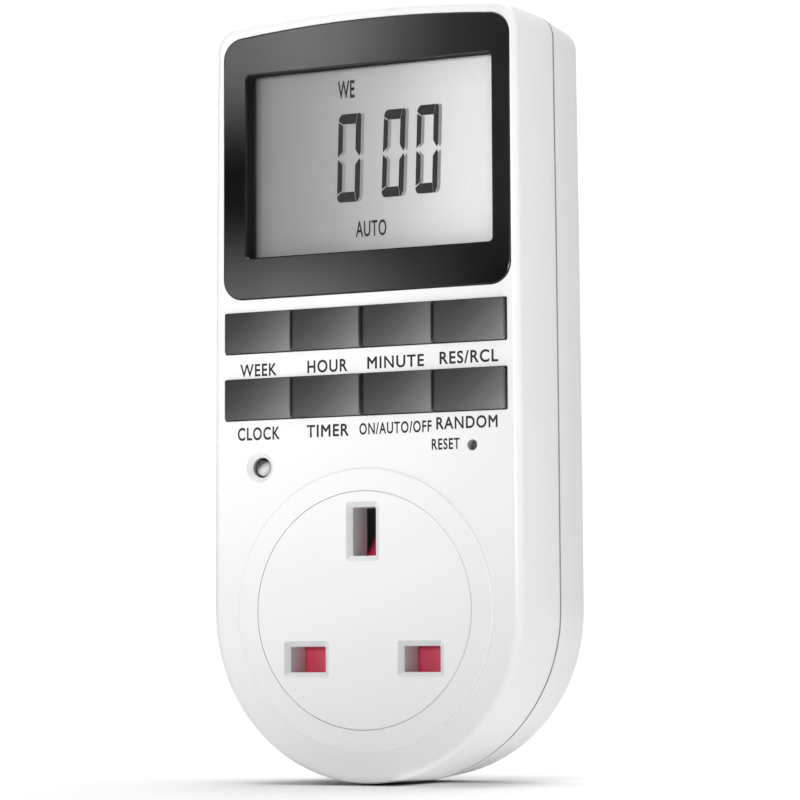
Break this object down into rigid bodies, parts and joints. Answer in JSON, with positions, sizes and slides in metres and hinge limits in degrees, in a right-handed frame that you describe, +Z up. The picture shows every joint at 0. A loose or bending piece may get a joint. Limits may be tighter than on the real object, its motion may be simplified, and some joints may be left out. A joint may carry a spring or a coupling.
{
  "type": "plug-in programmable timer",
  "caption": "Plug-in programmable mains timer with a digital display, keypad, status lamp, reset hole and shuttered three-pin outlet; plug pins on the back.",
  "frame": {"origin": "on the raised plug face that meets the wall outlet, midway between the earth pin and the line and neutral pins, across and up", "axes": "+X to the right seen from the front, +Y into the wall along the plug pins, +Z up with the display at the top; the front looks along -Y"},
  "size_m": [0.0608, 0.0557, 0.1374],
  "materials": {
    "shell_white": "moulded, polished",
    "outlet_white": "moulded, polished",
    "bezel_black": "high gloss",
    "lens_clear": "clear acrylic",
    "lcd_grey": "liquid-crystal cell with a grey polariser",
    "reflector": "matt foil",
    "frame_white": "moulded",
    "strip_rubber": "elastomer",
    "board_green": "solder mask on glass-fibre",
    "chip_black": "epoxy",
    "can_steel": "drawn can",
    "led_clear": "clear epoxy",
    "link_brass": "plated",
    "header_black": "moulded",
    "screw_steel": "zinc plated",
    "mat_rubber": "silicone rubber",
    "key_grey": "satin",
    "button_black": "moulded",
    "shutter_red": "moulded",
    "spring_steel": "wire",
    "carrier_white": "heat-resistant moulding",
    "contact_brass": "stamped",
    "pin_brass": "machined",
    "sleeve_black": "moulded",
    "strip_copper": "stamped",
    "board_tan": "phenolic board",
    "relay_case": "moulded",
    "relay_base": "moulded",
    "relay_iron": "plated",
    "coil_wire": "enamelled winding",
    "capacitor_yellow": "box moulding",
    "capacitor_sleeve": "shrink sleeve over a can",
    "varistor_blue": "epoxy dip",
    "resistor_green": "cement coat",
    "diode_black": "epoxy",
    "label_silver": "blank printed film"
  },
  "bodies": {
    "housing": {"backup_battery": "can_steel", "board_screws": "screw_steel", "carrier_screws": "screw_steel", "case_screws": "screw_steel", "clock_crystal": "can_steel", "contact_carrier": "carrier_white", "control_board": "board_green", "control_chip": "chip_black", "display_bezel": "bezel_black", "display_holder": "frame_white", "display_lens": "lens_clear", "earth_contact": "contact_brass", "earth_pin": "pin_brass", "front_shell": "shell_white", "fuse_resistor": "resistor_green", "keypad_mat": "mat_rubber", "lcd_glass": "lcd_grey", "lcd_reflector": "reflector", "line_contact": "contact_brass", "line_feed_strip": "strip_copper", "line_pin": "pin_brass", "line_pin_sleeve": "sleeve_black", "link_header": "header_black", "link_pins": "link_brass", "neutral_contact": "contact_brass", "neutral_pin": "pin_brass", "neutral_pin_sleeve": "sleeve_black", "neutral_strip": "strip_copper", "power_board": "board_tan", "power_board_screws": "screw_steel", "rating_label": "label_silver", "rear_shell": "shell_white", "rectifier_diodes": "diode_black", "relay_base": "relay_base", "relay_coil": "coil_wire", "relay_contact": "contact_brass", "relay_cover": "relay_case", "relay_yoke": "relay_iron", "reset_switch": "chip_black", "shutter_spring": "spring_steel", "smoothing_capacitor": "capacitor_sleeve", "socket_insert": "outlet_white", "status_led": "led_clear", "supply_capacitor": "capacitor_yellow", "switched_line_strip": "strip_copper", "varistor": "varistor_blue", "zebra_strips": "strip_rubber"},
    "week_key": {"week_key": "key_grey"},
    "hour_key": {"hour_key": "key_grey"},
    "minute_key": {"minute_key": "key_grey"},
    "recall_key": {"recall_key": "key_grey"},
    "clock_key": {"clock_key": "key_grey"},
    "timer_key": {"timer_key": "key_grey"},
    "mode_key": {"mode_key": "key_grey"},
    "random_key": {"random_key": "key_grey"},
    "reset_button": {"reset_button": "button_black"},
    "shutter": {"safety_shutter": "shutter_red"},
    "relay_armature": {"relay_armature": "relay_iron"}
  },
  "joints": [
    {"name": "week_press", "type": "slide", "parent": "housing", "child": "week_key", "axis": [0, 1, 0], "range_m": [0, 0.0008], "stiffness_N_per_m": 300, "springref_m": -0.001, "deforming": ["keypad_mat"]},
    {"name": "hour_press", "type": "slide", "parent": "housing", "child": "hour_key", "axis": [0, 1, 0], "range_m": [0, 0.0008], "stiffness_N_per_m": 300, "springref_m": -0.001, "deforming": ["keypad_mat"]},
    {"name": "minute_press", "type": "slide", "parent": "housing", "child": "minute_key", "axis": [0, 1, 0], "range_m": [0, 0.0008], "stiffness_N_per_m": 300, "springref_m": -0.001, "deforming": ["keypad_mat"]},
    {"name": "recall_press", "type": "slide", "parent": "housing", "child": "recall_key", "axis": [0, 1, 0], "range_m": [0, 0.0008], "stiffness_N_per_m": 300, "springref_m": -0.001, "deforming": ["keypad_mat"]},
    {"name": "clock_press", "type": "slide", "parent": "housing", "child": "clock_key", "axis": [0, 1, 0], "range_m": [0, 0.0008], "stiffness_N_per_m": 300, "springref_m": -0.001, "deforming": ["keypad_mat"]},
    {"name": "timer_press", "type": "slide", "parent": "housing", "child": "timer_key", "axis": [0, 1, 0], "range_m": [0, 0.0008], "stiffness_N_per_m": 300, "springref_m": -0.001, "deforming": ["keypad_mat"]},
    {"name": "mode_press", "type": "slide", "parent": "housing", "child": "mode_key", "axis": [0, 1, 0], "range_m": [0, 0.0008], "stiffness_N_per_m": 300, "springref_m": -0.001, "deforming": ["keypad_mat"]},
    {"name": "random_press", "type": "slide", "parent": "housing", "child": "random_key", "axis": [0, 1, 0], "range_m": [0, 0.0008], "stiffness_N_per_m": 300, "springref_m": -0.001, "deforming": ["keypad_mat"]},
    {"name": "reset_press", "type": "slide", "parent": "housing", "child": "reset_button", "axis": [0, 1, 0], "range_m": [0, 0.0004], "stiffness_N_per_m": 400, "springref_m": -0.0005},
    {"name": "shutter_slide", "type": "slide", "parent": "housing", "child": "shutter", "axis": [0, 0, -1], "range_m": [0, 0.0058], "stiffness_N_per_m": 80, "springref_m": -0.003, "deforming": ["shutter_spring"]},
    {"name": "relay_hinge", "type": "hinge", "parent": "housing", "child": "relay_armature", "pos_m": [-0.0155, -0.01695, 0.0516], "axis": [1, 0, 0], "range_deg": [0, 2.4], "stiffness_Nm_per_rad": 0.002, "springref_deg": -5.73}
  ]
}
